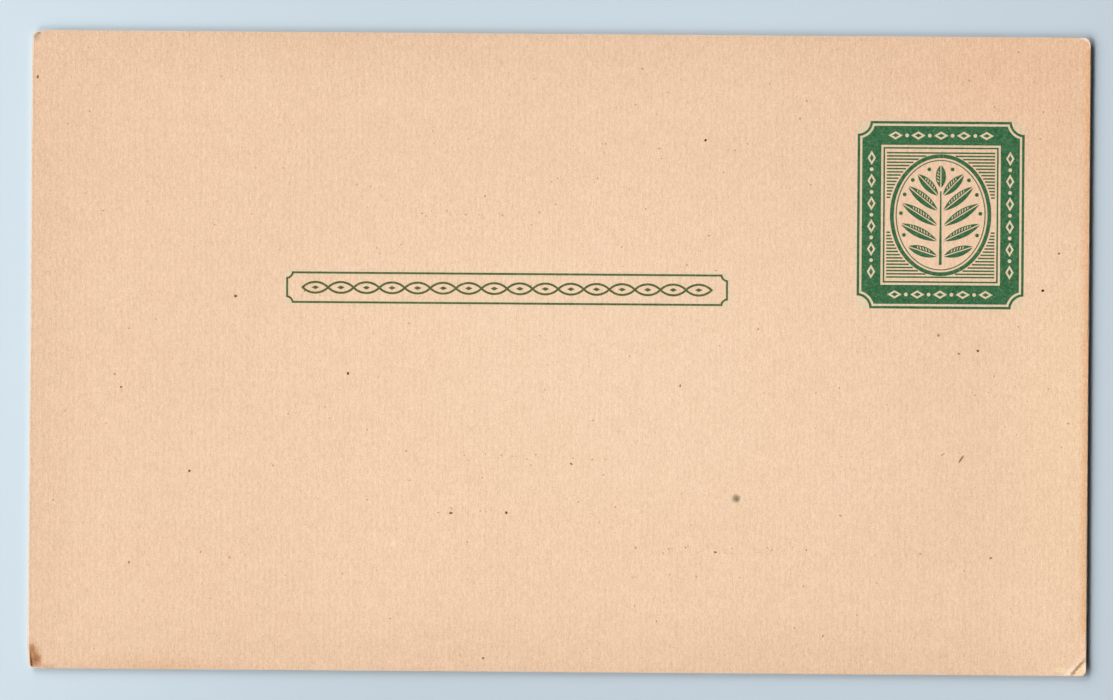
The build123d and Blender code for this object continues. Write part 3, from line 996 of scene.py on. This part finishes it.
# %% [markdown]
# ## Specks over the face and along rubbed bands
# The finished model can't hold modifiers, so a tree runs on a starting mesh once, with its sizes set by
# the sockets' identifiers, and what it makes is kept as a plain mesh. One starting mesh here covers the
# whole face, and another is a few narrow bands, where grime from rubbing against other paper has left
# rows of faint specks.

# %% Scatter over the face and along the rubbed bands
SPECK_MARGIN = 1.2
# middle and half sizes of each band
RUBBED_BANDS = [
    ((22.0, -25.8), (13.0, 0.5)), ((-11.5, -21.0), (5.0, 0.4)), ((13.0, -29.3), (5.5, 0.4)),
    ((-5.0, 2.0), (5.5, 0.4)), ((-14.0, 18.2), (7.0, 0.5)), ((8.0, 28.0), (4.0, 0.4)),
    ((-6.0, -13.8), (8.0, 0.5)), ((55.5, -4.5), (1.2, 0.9)), ((-13.5, 27.5), (4.0, 0.7)),
    ((0.0, 22.9), (6.5, 0.4)),
]
whole_face = [((0, 0), (half_length - SPECK_MARGIN, half_height - SPECK_MARGIN))]


def grow(name, start, tree, sizes):
    """A plain mesh piece, grown from a starting mesh by a tree with its named inputs set."""
    host = new_object(name + "_start", start)
    modifier = host.modifiers.new(name, "NODES")
    modifier.node_group = tree
    for item in tree.interface.items_tree:
        if item.in_out == "INPUT" and item.name in sizes:
            modifier[item.identifier] = sizes[item.name]
    mesh = bpy.data.meshes.new_from_object(host.evaluated_get(bpy.context.evaluated_depsgraph_get()))
    host.modifiers.remove(modifier)
    bpy.data.objects.remove(host)
    mesh.name = name
    piece = new_object(name, mesh)
    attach(piece, "root")
    print(f"{name}: {len(mesh.polygons)} faces")


grow("scattered_specks", level_patches("whole_face", whole_face, front_face), scatter, {
    "Density": 0.036 / MM**2, "Smallest": 0.09 * MM, "Largest": 0.22 * MM, "Darkest": 0.38,
    "Height": FLAKE_HEIGHT * MM, "Seed": 4})
grow("rubbed_band_specks", level_patches("rubbed_bands", RUBBED_BANDS, front_face), scatter, {
    "Density": 1.2 / MM**2, "Smallest": 0.08 * MM, "Largest": 0.24 * MM, "Darkest": 0.28,
    "Height": FLAKE_HEIGHT * MM, "Seed": 9})

# %% [markdown]
# ## Larger specks at their own places
# A few specks are large enough to be known by their place: a slanting shive of wood, and dark flecks of
# ink and bark. They are listed points, each with its length, width, turn and darkness as attributes, and
# a second small tree lays the same kind of flake on each.

# %% Chosen specks
# place, length, width, turn in degrees, darkness
CHOSEN = [
    ((53.1, -13.6), 1.25, 0.26, 58, 0.55),
    ((50.7, -13.0), 0.7, 0.14, 30, 0.35),
    ((63.7, 8.7), 0.42, 0.34, 20, 1.0),
    ((19.1, 28.2), 0.4, 0.32, 60, 0.95),
    ((-27.8, -2.9), 0.42, 0.3, 100, 0.95),
    ((-42.7, 7.2), 0.42, 0.36, 0, 0.8),
    ((-6.8, -21.1), 0.4, 0.32, 130, 0.85),
    ((-14.1, -21.2), 0.5, 0.3, 10, 0.75),
    ((-48.6, -15.9), 0.36, 0.3, 45, 0.9),
    ((55.2, 0.7), 0.36, 0.3, 150, 0.9),
    ((20.8, -26.1), 0.4, 0.26, 170, 0.7),
    ((1.7, -14.6), 0.42, 0.26, -30, 0.6),
    ((-57.7, -4.9), 0.32, 0.28, 0, 0.7),
    ((-69.0, 35.9), 0.5, 0.28, 85, 0.75),
    ((-9.7, -40.3), 0.36, 0.3, 0, 0.6),
    ((16.0, -4.2), 0.4, 0.24, 80, 0.6),
    ((65.8, 13.6), 0.3, 0.28, 0, 0.75),
    ((50.0, 2.7), 0.4, 0.34, 70, 0.4),
    ((52.7, 0.3), 0.36, 0.3, 0, 0.45),
    ((57.1, -26.6), 0.4, 0.26, 20, 0.5),
    ((-56.5, -28.0), 0.36, 0.26, 110, 0.5),
]
chosen_tree, chosen_given = geometry_tree("chosen_specks", {"Height": "NodeSocketFloat"})
chosen_points = add_node(chosen_tree, "GeometryNodeMeshToPoints",
                         {"Mesh": chosen_given.outputs["Geometry"]})
own = {}
for label in ("length", "width", "turn", "dark"):
    read = add_node(chosen_tree, "GeometryNodeInputNamedAttribute", {"Name": label}, data_type="FLOAT")
    own[label] = read.outputs[0]
lay_flakes(chosen_tree, chosen_points.outputs[0], own["length"], own["width"],
           chosen_given.outputs["Height"], own["turn"], own["dark"])

chosen_mesh = bpy.data.meshes.new("chosen_specks")
chosen_mesh.from_pydata([(x * MM, y * MM, front_face * MM) for (x, y), *_ in CHOSEN], [], [])
columns = {
    "length": [row[1] * MM for row in CHOSEN],
    "width": [row[2] * MM for row in CHOSEN],
    "turn": [math.radians(row[3]) for row in CHOSEN],
    "dark": [row[4] for row in CHOSEN],
}
for label, values in columns.items():
    chosen_mesh.attributes.new(label, "FLOAT", "POINT").data.foreach_set("value", values)
grow("chosen_specks", chosen_mesh, chosen_tree, {"Height": FLAKE_HEIGHT * MM})
